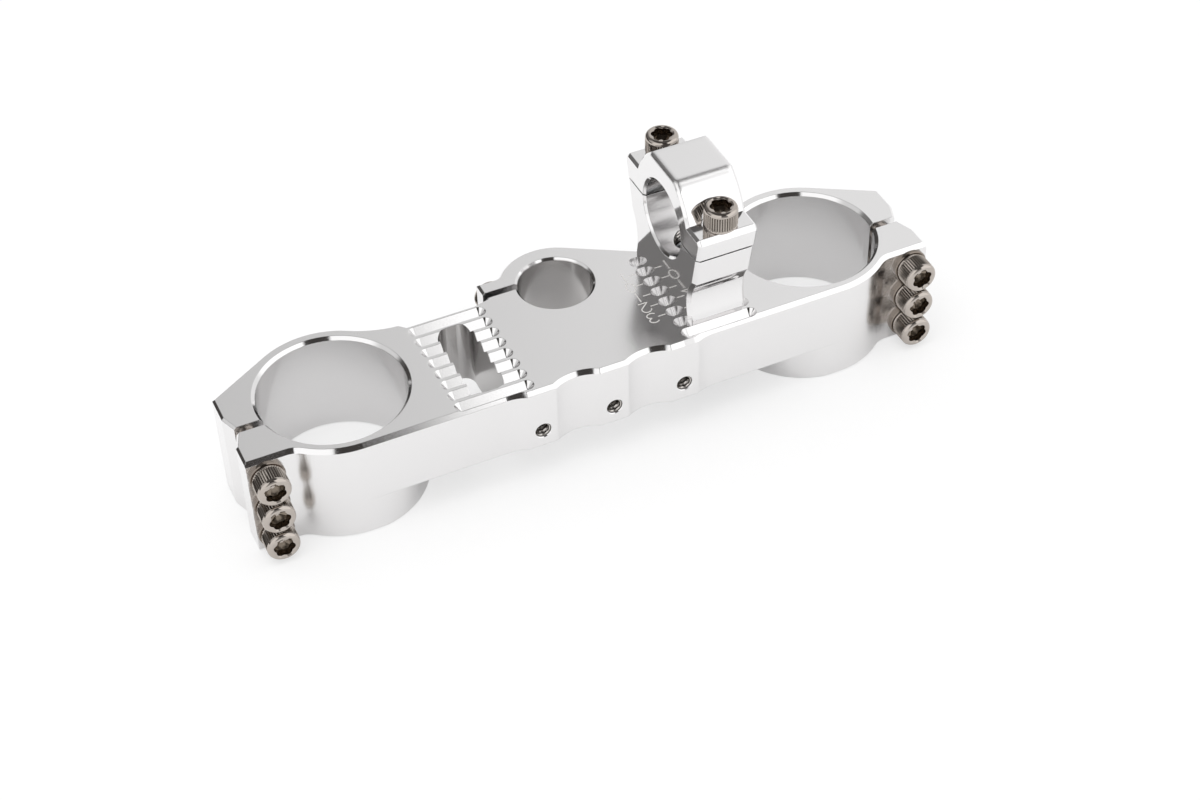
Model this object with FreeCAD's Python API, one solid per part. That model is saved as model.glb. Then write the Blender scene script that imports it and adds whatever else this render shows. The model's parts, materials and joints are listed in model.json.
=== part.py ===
import FreeCAD, Part
import math
import os

# Upper triple clamp of a motorcycle fork, with one handlebar mount bolted on.
# Frame: X across the bike, Y to the rear, Z up. The origin is on the axis of
# the steering stem's bore, at the underside of the plate. Millimetres.

# Driving sizes of the clamp body
fork_spacing = 188.0          # between the two fork tubes
fork_offset = 17.75           # the fork tubes stand this far in front of the stem
fork_bore_dia = 54.0
ring_wall = 4.75              # wall of the two rings round the fork tubes
stem_bore_dia = 28.0
stem_wall = 7.3               # wall of the boss round the stem
clamp_height = 42.0           # height of the rings
plate_thickness = 26.5        # height of the plate between them
front_chamfer = 1.5           # on the top edge along the front
edge_chamfer = 0.9            # on the rest of the top edge
bottom_chamfer = 0.5          # on the rings' lower edges
fork_rim_chamfer = 1.2
stem_rim_chamfer = 0.9

# Ears of the fork clamps
ear_reach = 39.7              # from the fork's axis to the end of the ears
ear_front = 17.8              # from the middle of the slit to the front ear's face
ear_rear = 18.6               # from the middle of the slit to the rear ear's corner
slit_setback = 5.35           # the slit lies this far in front of the fork's axis
slit_width = 3.0
lip_depth = 2.4               # the ears' ends slope in by this much to the slit
lip_width = 6.4
ear_fillet = 8.0              # between the front ear's face and the ring

# Front wall
facet_width = 11.0            # the three flats with the threaded holes
facet_spacing = 28.0
facet_rise = 1.6              # the flats stand this far in front of the wall
scallop_radius = 16.5
accessory_hole_dia = 6.0      # an M6 thread, at its outer size
accessory_mouth = 0.3         # width of the broken edge round it
accessory_hole_depth = 18.0
accessory_hole_height = 6.9   # above the underside

# Rear wall
rear_wall_y = 1.6
shoulder_y = 3.8              # the wall stands a little further back beside the rings
shoulder_radius = 40.0
shoulder_end = 60.4
shoulder_step = 2.4
boss_flank_angle = 59.0       # the boss runs out to the wall along a line at this angle

# Stem pinch lug, on the left of the boss
lug_reach = 26.5
lug_rear_y = 11.9
lug_front_reach = 32.0
lug_slit_y = 4.5
lug_fillet = 3.0

# Toothed pads for the bar mounts
pad_x = 44.0
pad_y = -24.4
tooth_pitch = 6.25
tooth_depth = 2.5
tooth_rows = 8
tooth_run = 25.0              # length of a groove between its two conical ends
slot_width = 13.0
slot_length = 37.5
slot_corner = 4.5

# Bar mount
bar_dia = 28.6
bar_height = 35.0             # of the bar's axis above the clamp
mount_width = 23.0
mount_shift = tooth_pitch / 4  # turned round, the mount moves the bar by half a tooth
mount_split_reach = 28.0      # half length at the split between base and cap
mount_taper = 12.0            # degrees that the ends lean outwards
foot_reach = 22.2
foot_height = 5.6
foot_chamfer = 0.8
waist_depth = 0.8             # how far the hollow of the waist cuts in behind the foot
waist_place = 0.36            # where it is deepest, as a share of the waist's height
land_gap = 0.3                # between the foot and the flat of the pad
tooth_tip_gap = 0.3           # between a tooth's tip and the bottom of its groove
shoulder_height = 22.5        # lower end of the straight walls above the waist
seat_height = 9.8             # of the cap screws' seats above the split
nose_chamfer = 1.8            # between a seat and the end wall
crown_height = 22.8           # of the cap's flat top above the split
crown_reach = 9.5             # half length of the flat top
crown_foot_reach = 19.9       # half length of the crown where it meets the seats
crown_bulge = 0.8
crown_facet = 0.8             # broken edge at each end of the flat top
seat_clearance = 0.5          # between a cap screw's head and the crown, all round
cap_gap = 0.6                 # open split between base and cap
base_chamfer = 1.4
cap_chamfer = 1.0
bar_rim_chamfer = 0.9

# Screws
head_dia = 12.2
head_height = 8.5
head_chamfer = 0.7
screw_dia = 8.0
small_screw_dia = 6.0         # the stem's pinch screw and the cap's screws
screw_point = 1.0             # chamfer at the tip of a screw
lobe_dia = 7.6                # across the points of the six-lobe socket
lobe_waist_dia = 5.6          # across its hollows
lobe_tip_angle = 22.0         # that the round end of a point takes up, seen from the axis
lobe_depth = 4.2
washer_dia = 13.2
washer_thickness = 1.5
washer_chamfer = 0.3
washer_seat_clearance = 0.5   # round the washer of the stem's screw, in its spot face
washer_clearance = 0.2        # between a screw and its washer, all round
thread_clearance = 0.05       # between a screw and its threaded hole, all round
hole_clearance = 0.25         # between a screw and its plain hole, all round
pinch_screw_reach = 32.8      # from the fork's axis to the pinch screws
pinch_screw_spacing = 13.4
pinch_screw_length = 32.0
stem_screw_reach = 18.5       # from the stem's axis
stem_screw_height = 12.0      # above the underside
stem_screw_length = 25.0
cap_screw_reach = 23.1        # from the bar's axis to each cap screw
cap_screw_length = 16.0
drill_run_out = 0.5           # free depth beyond the tip of a screw in a blind hole

# Bolt that holds the bar mount from below
bolt_dia = 12.0
bolt_length = 45.0
bolt_head_flats = 18.0
bolt_head_height = 7.5
bolt_point = 1.2              # chamfer at the tip of the bolt
bolt_washer_dia = 26.0
bolt_washer_thickness = 2.5

# Sizes worked out from the ones above
top = plate_thickness
ring_bottom = top - clamp_height
fork_x = fork_spacing / 2
fork_radius = fork_bore_dia / 2
ring_radius = fork_radius + ring_wall
stem_radius = stem_bore_dia / 2
boss_radius = stem_radius + stem_wall
front_wall_y = -fork_offset - ring_radius
facet_y = front_wall_y - facet_rise
slit_y = -fork_offset - slit_setback
ear_front_y = slit_y - ear_front
ear_rear_y = slit_y + ear_rear
ear_end_x = fork_x + ear_reach
lip_x = ear_end_x - lip_depth
screw_radius = screw_dia / 2
small_screw_radius = small_screw_dia / 2
split_z = top + bar_height
bar_y = pad_y + mount_shift
UP = FreeCAD.Vector(0, 0, 1)
REAR = FreeCAD.Vector(0, 1, 0)
FRONT = FreeCAD.Vector(0, -1, 0)
RIGHT = FreeCAD.Vector(1, 0, 0)


def point(x, y, z=0.0):
    """A point in the part's frame."""
    return FreeCAD.Vector(x, y, z)


def lines(points):
    """Straight edges from each point to the next."""
    return [Part.makeLine(a, b) for a, b in zip(points, points[1:])]


def arc(start, middle, end):
    """The arc from start to end that passes through middle."""
    return Part.Arc(start, middle, end).toShape()


def on_circle(centre, radius, degrees):
    """The point of a circle in plan at an angle from +X."""
    a = math.radians(degrees)
    return centre + point(radius * math.cos(a), radius * math.sin(a))


def arc_about(centre, radius, first, last):
    """The arc of a circle in plan between two angles in degrees."""
    middle = (first + last) / 2
    return arc(on_circle(centre, radius, first), on_circle(centre, radius, middle),
               on_circle(centre, radius, last))


def prism(edges, direction):
    """The solid that a closed outline sweeps along a direction."""
    wire = Part.Wire(Part.__sortEdges__(edges))
    return Part.Face(wire).extrude(direction)


def cylinder(radius, start, direction, length):
    """A round bar from a point along a direction."""
    return Part.makeCylinder(radius, length, start, direction)


def rim_cone(radius, chamfer, rim, direction):
    """The cone that breaks the edge of a round hole; direction points out of the hole."""
    overrun = 0.5
    start = rim - direction * chamfer
    return Part.makeCone(radius, radius + chamfer + overrun, chamfer + overrun, start, direction)


def mirrored(shape):
    """The same shape on the other side of the bike."""
    return shape.mirror(point(0, 0), RIGHT)


def tangent_angle(radius, out_x, out_y):
    """Angle at which a line from an outer point touches a circle about the origin, on its rear."""
    distance = math.hypot(out_x, out_y)
    return math.degrees(math.atan2(out_y, out_x) + math.acos(radius / distance))


def front_edges():
    """Right half of the front wall: half the middle flat, a scallop, a flat and the run to the ring."""
    half = facet_width / 2
    drop = math.sqrt(scallop_radius ** 2 - (facet_spacing / 2 - half) ** 2)
    scallop_mid = point(facet_spacing / 2, facet_y - drop + scallop_radius)
    outer = facet_spacing + half
    run_out = outer + math.sqrt(scallop_radius ** 2 - (scallop_radius - facet_rise) ** 2)
    half_angle = math.acos((scallop_radius - facet_rise) / scallop_radius) / 2
    blend_mid = point(run_out - scallop_radius * math.sin(half_angle),
                      front_wall_y - scallop_radius * (1 - math.cos(half_angle)))
    return [
        Part.makeLine(point(0, facet_y), point(half, facet_y)),
        arc(point(half, facet_y), scallop_mid, point(facet_spacing - half, facet_y)),
        Part.makeLine(point(facet_spacing - half, facet_y), point(outer, facet_y)),
        arc(point(outer, facet_y), blend_mid, point(run_out, front_wall_y)),
        Part.makeLine(point(run_out, front_wall_y), point(fork_x, front_wall_y)),
    ]


def end_edges():
    """Outline of the right end: ring, front ear, lips of the slit, rear ear and ring again."""
    fork = point(fork_x, -fork_offset)
    rear_angle = tangent_angle(ring_radius, ear_reach, ear_rear_y + fork_offset)
    lift = shoulder_y + shoulder_radius + fork_offset
    across = math.sqrt((ring_radius + shoulder_radius) ** 2 - lift ** 2)
    blend = fork + point(-across, lift)
    blend_angle = math.degrees(math.atan2(lift, -across))
    end_angle = -math.degrees(math.acos((shoulder_end - blend.x) / shoulder_radius))
    shoulder = on_circle(blend, shoulder_radius, end_angle)
    half = slit_width / 2
    blend_drop = -fork_offset - ear_front_y + ear_fillet
    blend_angle_front = math.degrees(math.asin(blend_drop / (ring_radius + ear_fillet)))
    corner = on_circle(fork, ring_radius + ear_fillet, -blend_angle_front)
    ears = lines([
        point(corner.x, ear_front_y),
        point(ear_end_x, ear_front_y),
        point(ear_end_x, slit_y - half - lip_width),
        point(lip_x, slit_y - half),
        point(lip_x, slit_y + half),
        point(ear_end_x, slit_y + half + lip_width),
        point(ear_end_x, ear_rear_y),
        on_circle(fork, ring_radius, rear_angle),
    ])
    return [
        arc_about(fork, ring_radius, -90, -blend_angle_front),
        arc_about(corner, ear_fillet, 90, 180 - blend_angle_front),
    ] + ears + [
        arc_about(fork, ring_radius, rear_angle, blend_angle),
        arc_about(blend, shoulder_radius, blend_angle - 180, end_angle),
        Part.makeLine(shoulder, point(shoulder.x - shoulder_step, rear_wall_y)),
    ]


def rear_edges():
    """Rear wall from the left shoulder round the lug and the stem's boss to the right shoulder."""
    wall_end = shoulder_end - shoulder_step
    flank = math.radians(boss_flank_angle)
    flank_foot = (boss_radius - rear_wall_y * math.sin(flank)) / math.cos(flank)
    half = slit_width / 2
    fillet_y = lug_rear_y + lug_fillet
    fillet_x = -math.sqrt((boss_radius + lug_fillet) ** 2 - fillet_y ** 2)
    fillet = point(fillet_x, fillet_y)
    boss_angle = math.degrees(math.atan2(fillet_y, fillet_x))
    left = lines([
        point(-wall_end, rear_wall_y),
        point(-lug_front_reach, rear_wall_y),
        point(-lug_reach, lug_slit_y - half),
        point(-lug_reach, lug_rear_y),
        point(fillet_x, lug_rear_y),
    ])
    right = lines([
        on_circle(point(0, 0), boss_radius, boss_flank_angle),
        point(flank_foot, rear_wall_y),
        point(wall_end, rear_wall_y),
    ])
    return left + [
        arc_about(fillet, lug_fillet, -90, boss_angle - 180),
        arc_about(point(0, 0), boss_radius, boss_angle, boss_flank_angle),
    ] + right


def on_front(edge):
    """True for a top edge on the front side, from one front ear's corner to the other's."""
    middle = edge.CenterOfMass
    return middle.y < slit_y and abs(middle.x) < lip_x - 0.01


def billet():
    """The whole outline at the rings' full height, its upper and lower edges broken."""
    half = front_edges() + end_edges()
    outline = half + [mirrored(e) for e in half] + rear_edges()
    for edge in outline:
        edge.translate(point(0, 0, ring_bottom))
    block = prism(outline, UP * clamp_height)
    top_edges = [e for e in block.Edges if abs(e.BoundBox.ZMin - top) < 0.001]
    block = block.makeChamfer(front_chamfer, [e for e in top_edges if on_front(e)])
    rest = [e for e in block.Edges if abs(e.BoundBox.ZMin - top) < 0.001 and not on_front(e)]
    block = block.makeChamfer(edge_chamfer, rest)
    lower_edges = [e for e in block.Edges if abs(e.BoundBox.ZMax - ring_bottom) < 0.001]
    return block.makeChamfer(bottom_chamfer, lower_edges)


def underside_relief():
    """What is milled away below the plate, between the two rings."""
    reach = ring_radius + facet_rise + boss_radius
    block = Part.makeBox(fork_spacing, 2 * reach, -ring_bottom,
                         point(-fork_x, -fork_offset - reach, ring_bottom))
    for side in (-1, 1):
        ring = cylinder(ring_radius, point(side * fork_x, -fork_offset, ring_bottom), UP, -ring_bottom)
        block = block.cut(ring)
    return block


def groove():
    """Cutter for one tooth groove: a V along X that ends in half a cone at each end."""
    start = point(-tooth_run / 2, 0)
    vee = prism(lines([start + point(0, -tooth_depth), start + point(0, 0, -tooth_depth),
                       start + point(0, tooth_depth), start + point(0, -tooth_depth)]),
                RIGHT * tooth_run)
    lift = 0.5
    profile = lines([point(0, 0, -tooth_depth), point(tooth_depth + lift, 0, lift), point(0, 0, lift),
                     point(0, 0, -tooth_depth)])
    cone = Part.Face(Part.Wire(profile)).revolve(point(0, 0), UP, 360)
    above = Part.makeBox(tooth_run, 2 * tooth_depth, lift, start + point(0, -tooth_depth))
    ends = [cone.translated(point(side * tooth_run / 2, 0)) for side in (-1, 1)]
    return vee.fuse(ends + [above])


def row_offsets():
    """Places of the groove rows across the pad, from its middle."""
    return [(row - (tooth_rows - 1) / 2) * tooth_pitch for row in range(tooth_rows)]


def pad_slot():
    """Cutter for the slot that the mount's bolt slides in."""
    box = Part.makeBox(slot_width, slot_length, plate_thickness + 2,
                       point(-slot_width / 2, -slot_length / 2, -1))
    upright = [e for e in box.Edges if e.BoundBox.ZLength > plate_thickness]
    return box.makeFillet(slot_corner, upright)


def pinch_heights():
    """Heights of the three pinch screws of a ring, top one first."""
    middle = (top + ring_bottom) / 2
    return [middle + step * pinch_screw_spacing for step in (1, 0, -1)]


def fork_cutters(side):
    """Bore, rim chamfers, slit and screw holes of one fork clamp."""
    fork = point(side * fork_x, -fork_offset, ring_bottom)
    rim = point(side * fork_x, -fork_offset, top)
    cutters = [
        cylinder(fork_radius, fork - UP, UP, clamp_height + 2),
        rim_cone(fork_radius, fork_rim_chamfer, rim, UP),
        rim_cone(fork_radius, bottom_chamfer, fork, -UP),
    ]
    slit = Part.makeBox(ear_reach + 1, slit_width, clamp_height + 2,
                        point(0, slit_y - slit_width / 2, ring_bottom - 1))
    slit = slit.translated(point(fork_x, 0))
    cutters.append(slit if side > 0 else mirrored(slit))
    hole_x = side * (fork_x + pinch_screw_reach)
    shank_end = ear_front_y - washer_thickness + pinch_screw_length
    for z in pinch_heights():
        cutters.append(cylinder(screw_radius + hole_clearance, point(hole_x, ear_front_y - 1, z),
                                REAR, slit_y - ear_front_y + 1))
        cutters.append(cylinder(screw_radius + thread_clearance, point(hole_x, slit_y, z),
                                REAR, shank_end + 1 - slit_y))
    return cutters


def stem_cutters():
    """Bore, rim chamfer, slit and screw hole of the stem clamp."""
    rim = point(0, 0, top)
    slit = Part.makeBox(lug_reach + 1, slit_width, plate_thickness + 2,
                        point(-lug_reach - 1, lug_slit_y - slit_width / 2, -1))
    z = stem_screw_height
    seat = point(-stem_screw_reach, lug_rear_y, z)
    front_end = lug_rear_y + washer_thickness - stem_screw_length - 1
    spot = cylinder(washer_dia / 2 + washer_seat_clearance, seat, REAR, boss_radius)
    return [
        cylinder(stem_radius, point(0, 0, -1), UP, plate_thickness + 2),
        rim_cone(stem_radius, stem_rim_chamfer, rim, UP),
        slit,
        spot,
        cylinder(small_screw_radius + hole_clearance, seat + REAR, FRONT, lug_rear_y + 1 - lug_slit_y),
        cylinder(small_screw_radius + thread_clearance, point(-stem_screw_reach, lug_slit_y, z), FRONT,
                 lug_slit_y - front_end),
    ]


def accessory_holes():
    """Three blind threaded holes in the front flats, with countersunk mouths."""
    cutters = []
    for x in (-facet_spacing, 0, facet_spacing):
        mouth = point(x, facet_y, accessory_hole_height)
        cutters.append(cylinder(accessory_hole_dia / 2, mouth + FRONT, REAR, accessory_hole_depth + 1))
        cutters.append(rim_cone(accessory_hole_dia / 2, accessory_mouth, mouth, FRONT))
    return cutters


def clamp_body():
    """The clamp itself, milled from one piece."""
    cutters = [underside_relief()] + fork_cutters(-1) + fork_cutters(1) + stem_cutters()
    cutters += accessory_holes()
    body = billet().cut(cutters)
    tooth = groove()
    for side in (-1, 1):
        pad = point(side * pad_x, pad_y)
        body = body.cut([tooth.translated(pad + point(0, y, top)) for y in row_offsets()])
        body = body.cut(pad_slot().translated(pad))
    return body


def lobe_socket():
    """Cutter for a six-lobe socket: six rounded points with round hollows between them."""
    axis = point(0, 0)
    outer = lobe_dia / 2
    flank = outer * math.cos(math.radians(lobe_tip_angle / 2)) ** 2
    edges = []
    for lobe in range(6):
        middle = 60 * lobe
        tip_first = on_circle(axis, flank, middle - lobe_tip_angle / 2)
        tip = on_circle(axis, outer, middle)
        tip_last = on_circle(axis, flank, middle + lobe_tip_angle / 2)
        hollow = on_circle(axis, lobe_waist_dia / 2, middle + 30)
        next_first = on_circle(axis, flank, middle + 60 - lobe_tip_angle / 2)
        edges += [arc(tip_first, tip, tip_last), arc(tip_last, hollow, next_first)]
    return prism(edges, UP * lobe_depth)


def socket_screw(radius, length):
    """Socket head screw, its head standing on z = 0 and its shank pointing down."""
    r = head_dia / 2
    profile = lines([
        point(0, 0, -length), point(radius - screw_point, 0, -length),
        point(radius, 0, -length + screw_point), point(radius, 0, 0), point(r, 0, 0),
        point(r, 0, head_height - head_chamfer), point(r - head_chamfer, 0, head_height),
        point(0, 0, head_height), point(0, 0, -length),
    ])
    screw = Part.Face(Part.Wire(profile)).revolve(point(0, 0), UP, 360)
    return screw.cut(lobe_socket().translated(point(0, 0, head_height - lobe_depth)))


def flat_washer(outer_dia, hole_dia, thickness):
    """Flat washer that lies on z = 0, its upper outer edge broken."""
    disc = cylinder(outer_dia / 2, point(0, 0), UP, thickness)
    rim = [e for e in disc.Edges if e.BoundBox.ZMin > thickness / 2 and len(e.Vertexes) == 1]
    disc = disc.makeChamfer(washer_chamfer, rim)
    return disc.cut(cylinder(hole_dia / 2, point(0, 0, -1), UP, thickness + 2))


def aimed(shape, place, direction):
    """A shape made along +Z, turned to a direction and set at a place."""
    turn = FreeCAD.Rotation(UP, direction)
    turned = shape.copy()
    turned.Placement = FreeCAD.Placement(place, turn)
    return turned


def pinch_set(place, direction, radius, length):
    """A pinch screw and its washer on a seat; direction points out of the seat."""
    washer = flat_washer(washer_dia, 2 * (radius + washer_clearance), washer_thickness)
    screw = socket_screw(radius, length)
    return aimed(screw, place + direction * washer_thickness, direction), aimed(washer, place, direction)


def bore_cutter():
    """The handlebar's seat, through base and cap, with its broken edges."""
    centre = point(pad_x, bar_y, split_z)
    reach = mount_width / 2
    return [
        cylinder(bar_dia / 2, centre - RIGHT * (reach + 1), RIGHT, mount_width + 2),
        rim_cone(bar_dia / 2, bar_rim_chamfer, centre + RIGHT * reach, RIGHT),
        rim_cone(bar_dia / 2, bar_rim_chamfer, centre - RIGHT * reach, -RIGHT),
    ]


def mount_prism(half_edges):
    """Sweeps half a side outline and its mirror image across the mount's width."""
    rear = [e.translated(point(pad_x - mount_width / 2, bar_y)) for e in half_edges]
    front = [e.mirror(point(0, bar_y), REAR) for e in rear]
    block = prism(rear + front, RIGHT * mount_width)
    return block


def side_edges(block, low, high):
    """Edges along a mount piece's two side faces, but for the level ones at low and high."""
    found = []
    for edge in block.Edges:
        box = edge.BoundBox
        level = box.ZLength < 0.001 and (abs(box.ZMin - low) < 0.001 or abs(box.ZMin - high) < 0.001)
        if box.XLength < 0.001 and not level and box.ZMin > low - 0.001 and box.ZMax < high + 0.001:
            found.append(edge)
    return found


def taper_reach(height):
    """Half length of the mount at a height above the split."""
    return mount_split_reach + height * math.tan(math.radians(mount_taper))


def foot_teeth():
    """The teeth under the mount's foot: each fills a groove of the pad but for its tip."""
    overlap = 0.2
    tip = tooth_depth - tooth_tip_gap
    root = land_gap + overlap
    reach = foot_reach - foot_chamfer
    ridge = prism(lines([
        point(0, -tooth_tip_gap, -tip), point(0, tooth_tip_gap, -tip), point(0, tooth_depth + root, root),
        point(0, -tooth_depth - root, root), point(0, -tooth_tip_gap, -tip),
    ]), RIGHT * mount_width)
    left = point(pad_x - mount_width / 2, pad_y, top)
    room = Part.makeBox(mount_width, 2 * reach, tooth_depth + root,
                        point(pad_x - mount_width / 2, bar_y - reach, top - tooth_depth))
    rows = [y for y in row_offsets() if abs(y + pad_y - bar_y) < reach]
    return [ridge.translated(left + point(0, y)).common(room) for y in rows]


def mount_base():
    """Lower half of the bar mount: toothed foot, hollow waist, the seat's lower half, and a hole up to it."""
    foot_z = top + land_gap
    waist_z = top + foot_height
    wall_z = top + shoulder_height
    split = split_z - cap_gap / 2
    hollow = point(0, foot_reach - waist_depth, waist_z + (wall_z - waist_z) * waist_place)
    corners = [
        point(0, 0, foot_z), point(0, foot_reach - foot_chamfer, foot_z),
        point(0, foot_reach, foot_z + foot_chamfer), point(0, foot_reach, waist_z),
    ]
    half = lines(corners) + [arc(corners[-1], hollow, point(0, taper_reach(wall_z - split_z), wall_z))]
    half += lines([
        point(0, taper_reach(wall_z - split_z), wall_z), point(0, taper_reach(0), split), point(0, 0, split),
    ])
    block = mount_prism(half)
    block = block.makeChamfer(base_chamfer, side_edges(block, foot_z + foot_chamfer, split))
    block = block.fuse(foot_teeth()).removeSplitter()
    hole_start = foot_z - tooth_depth - 1
    cutters = bore_cutter()
    cutters.append(cylinder(bolt_dia / 2 + thread_clearance, point(pad_x, bar_y, hole_start),
                            UP, split_z - hole_start))
    hole_end = split_z + seat_height - cap_screw_length - drill_run_out
    for side in (-1, 1):
        start = point(pad_x, bar_y + side * cap_screw_reach, hole_end)
        cutters.append(cylinder(small_screw_radius + thread_clearance, start, UP, split_z - hole_end))
    return block.cut(cutters)


def mount_cap():
    """Upper half of the bar mount: crown over the bar and a flange for a screw at each end."""
    bottom = split_z + cap_gap / 2
    seat = split_z + seat_height
    crown = split_z + crown_height
    brow = point(0, crown_reach + crown_facet, crown - crown_facet)
    foot = point(0, crown_foot_reach, seat)
    bulge = (brow + foot) * 0.5 + point(0, crown_bulge, crown_bulge)
    half = lines([
        point(0, 0, bottom), point(0, taper_reach(0), bottom),
        point(0, taper_reach(seat_height - nose_chamfer), seat - nose_chamfer),
        point(0, taper_reach(seat_height - nose_chamfer) - nose_chamfer, seat), foot,
    ])
    half += [arc(foot, bulge, brow)]
    half += lines([brow, point(0, crown_reach, crown), point(0, 0, crown)])
    block = mount_prism(half)
    block = block.makeChamfer(cap_chamfer, side_edges(block, bottom, crown + 1))
    cutters = bore_cutter()
    for side in (-1, 1):
        place = point(pad_x, bar_y + side * cap_screw_reach, bottom - 1)
        cutters.append(cylinder(small_screw_radius + hole_clearance, place, UP, seat_height + 2))
        seat_place = point(pad_x, bar_y + side * cap_screw_reach, seat)
        cutters.append(cylinder(head_dia / 2 + seat_clearance, seat_place, UP, crown_height))
    return block.cut(cutters)


def mount_bolt():
    """Hexagon bolt from below, its head's corners turned off."""
    across = bolt_head_flats / math.cos(math.radians(30))
    corners = [on_circle(point(0, 0), across / 2, 60 * k + 30) for k in range(7)]
    head = prism(lines(corners), UP * bolt_head_height)
    bevel = (across - bolt_head_flats) / 2
    turned = Part.makeCone(across / 2 - bevel, across / 2 - bevel + bolt_head_height * 2, bolt_head_height,
                           point(0, 0), UP)
    head = head.common(turned)
    r = bolt_dia / 2
    profile = lines([
        point(0, 0, 0), point(r, 0, 0), point(r, 0, bolt_length - bolt_point),
        point(r - bolt_point, 0, bolt_length), point(0, 0, bolt_length), point(0, 0, 0),
    ])
    shank = Part.Face(Part.Wire(profile)).revolve(point(0, 0), UP, 360)
    bolt = head.fuse(shank.translated(point(0, 0, bolt_head_height))).removeSplitter()
    return bolt.translated(point(pad_x, bar_y, -bolt_washer_thickness - bolt_head_height))


def mount_bolt_washer():
    """Wide washer between the bolt's head and the underside of the plate."""
    washer = flat_washer(bolt_washer_dia, bolt_dia + 2 * hole_clearance, bolt_washer_thickness)
    return aimed(washer, point(pad_x, bar_y, 0), -UP)


def build():
    """Every piece of the clamp, by its node's name."""
    nodes = {"clamp_body": clamp_body()}
    for side, side_name in ((-1, "left"), (1, "right")):
        for level, z in zip(("top", "middle", "bottom"), pinch_heights()):
            seat = point(side * (fork_x + pinch_screw_reach), ear_front_y, z)
            screw, washer = pinch_set(seat, FRONT, screw_radius, pinch_screw_length)
            nodes[f"{side_name}_pinch_screw_{level}"] = screw
            nodes[f"{side_name}_pinch_washer_{level}"] = washer
    seat = point(-stem_screw_reach, lug_rear_y, stem_screw_height)
    screw, washer = pinch_set(seat, REAR, small_screw_radius, stem_screw_length)
    nodes["stem_pinch_screw"] = screw
    nodes["stem_pinch_washer"] = washer
    nodes["bar_mount_base"] = mount_base()
    nodes["bar_mount_cap"] = mount_cap()
    for side, name in ((-1, "front"), (1, "rear")):
        seat = point(pad_x, bar_y + side * cap_screw_reach, split_z + seat_height)
        nodes[f"cap_screw_{name}"] = aimed(socket_screw(small_screw_radius, cap_screw_length), seat, UP)
    nodes["mount_bolt"] = mount_bolt()
    nodes["mount_bolt_washer"] = mount_bolt_washer()
    return nodes


os.makedirs("parts", exist_ok=True)
for node, shape in build().items():
    shape.exportStep(f"parts/{node}.step")
    print(node, len(shape.Solids), round(shape.Volume / 1000, 2), "cm3", shape.isValid())
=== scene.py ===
# %% [markdown]
# This scene dresses a motorcycle's upper triple clamp: the wide aluminium plate
# that grips both fork tubes, the steering stem and, on top, the handlebar. The
# machined bodies come finished from the frame. Here they get their metals, and
# the screws, threads and engraved marks that are too fine for the frame are
# made as surfaces on a grid. Everything is in metres, in the frame's own axes.

# %% Load the frame and keep its box
import json
import math
import bpy
import numpy as np
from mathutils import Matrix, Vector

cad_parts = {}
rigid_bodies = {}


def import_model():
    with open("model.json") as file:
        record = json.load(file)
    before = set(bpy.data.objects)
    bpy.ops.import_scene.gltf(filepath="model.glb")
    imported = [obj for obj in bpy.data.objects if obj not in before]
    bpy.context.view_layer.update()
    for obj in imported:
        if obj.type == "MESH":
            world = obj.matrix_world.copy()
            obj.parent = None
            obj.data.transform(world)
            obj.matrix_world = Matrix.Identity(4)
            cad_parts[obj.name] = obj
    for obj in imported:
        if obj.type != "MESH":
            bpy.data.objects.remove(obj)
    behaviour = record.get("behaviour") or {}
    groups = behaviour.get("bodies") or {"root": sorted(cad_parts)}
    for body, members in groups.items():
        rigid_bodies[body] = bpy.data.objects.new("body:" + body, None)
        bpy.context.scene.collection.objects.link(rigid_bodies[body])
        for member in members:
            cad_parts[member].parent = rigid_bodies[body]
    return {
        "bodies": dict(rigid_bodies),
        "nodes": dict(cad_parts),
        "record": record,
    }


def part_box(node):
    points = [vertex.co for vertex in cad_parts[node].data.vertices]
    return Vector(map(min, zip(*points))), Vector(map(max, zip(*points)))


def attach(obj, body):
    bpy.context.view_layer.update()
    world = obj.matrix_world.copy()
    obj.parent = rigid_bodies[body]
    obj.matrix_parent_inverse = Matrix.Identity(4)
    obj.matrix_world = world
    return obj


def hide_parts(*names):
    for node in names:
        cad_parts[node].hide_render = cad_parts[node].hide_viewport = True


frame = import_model()
ROOT = list(frame["bodies"])[0]
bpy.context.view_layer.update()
mm = 0.001
print("CAD nodes:", len(frame["nodes"]), "body:", ROOT)

# %% [markdown]
# The frame says where things are, so no place is typed in twice. Its record
# lists every bore that something is fastened in, with its axis and radius, and
# each node's box gives the rest.

# %% Places read from the frame
mounts = {m["name"]: m for m in frame["record"]["mounts"]}
fork_axis = mounts["fork_bore_right"]["pos_m"]
fork_radius = mounts["fork_bore_right"]["dims"]["r_mm"] * mm
stem_radius = mounts["stem_bore"]["dims"]["r_mm"] * mm
seat_axis = mounts["handlebar_seat"]["pos_m"]
seat_radius = mounts["handlebar_seat"]["dims"]["r_mm"] * mm
slot_middle = mounts["left_mount_slot"]["pos_m"]
clamp_low, clamp_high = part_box("clamp_body")
top_z = clamp_high[2]
base_low, base_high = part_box("bar_mount_base")
print("top plane", round(top_z / mm, 2), "mm, fork bores at x", round(fork_axis[0] / mm, 2), "mm")

# %% [markdown]
# Colours are written as they look on a screen, in hex. The renderer wants
# linear light, so one function turns one into the other. A second function adds
# a node to a material and fills its sockets, and everything below uses it. A
# third starts a metal, which has nothing but a colour and a roughness at first.

# %% Colour and node helpers
def colour(hex_code):
    """Linear RGBA of an sRGB hex colour: each channel is ((c + 0.055) / 1.055) ** 2.4."""
    channels = [int(hex_code[i:i + 2], 16) / 255 for i in (1, 3, 5)]
    linear = [c / 12.92 if c <= 0.04045 else ((c + 0.055) / 1.055) ** 2.4 for c in channels]
    return linear + [1.0]


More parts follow.
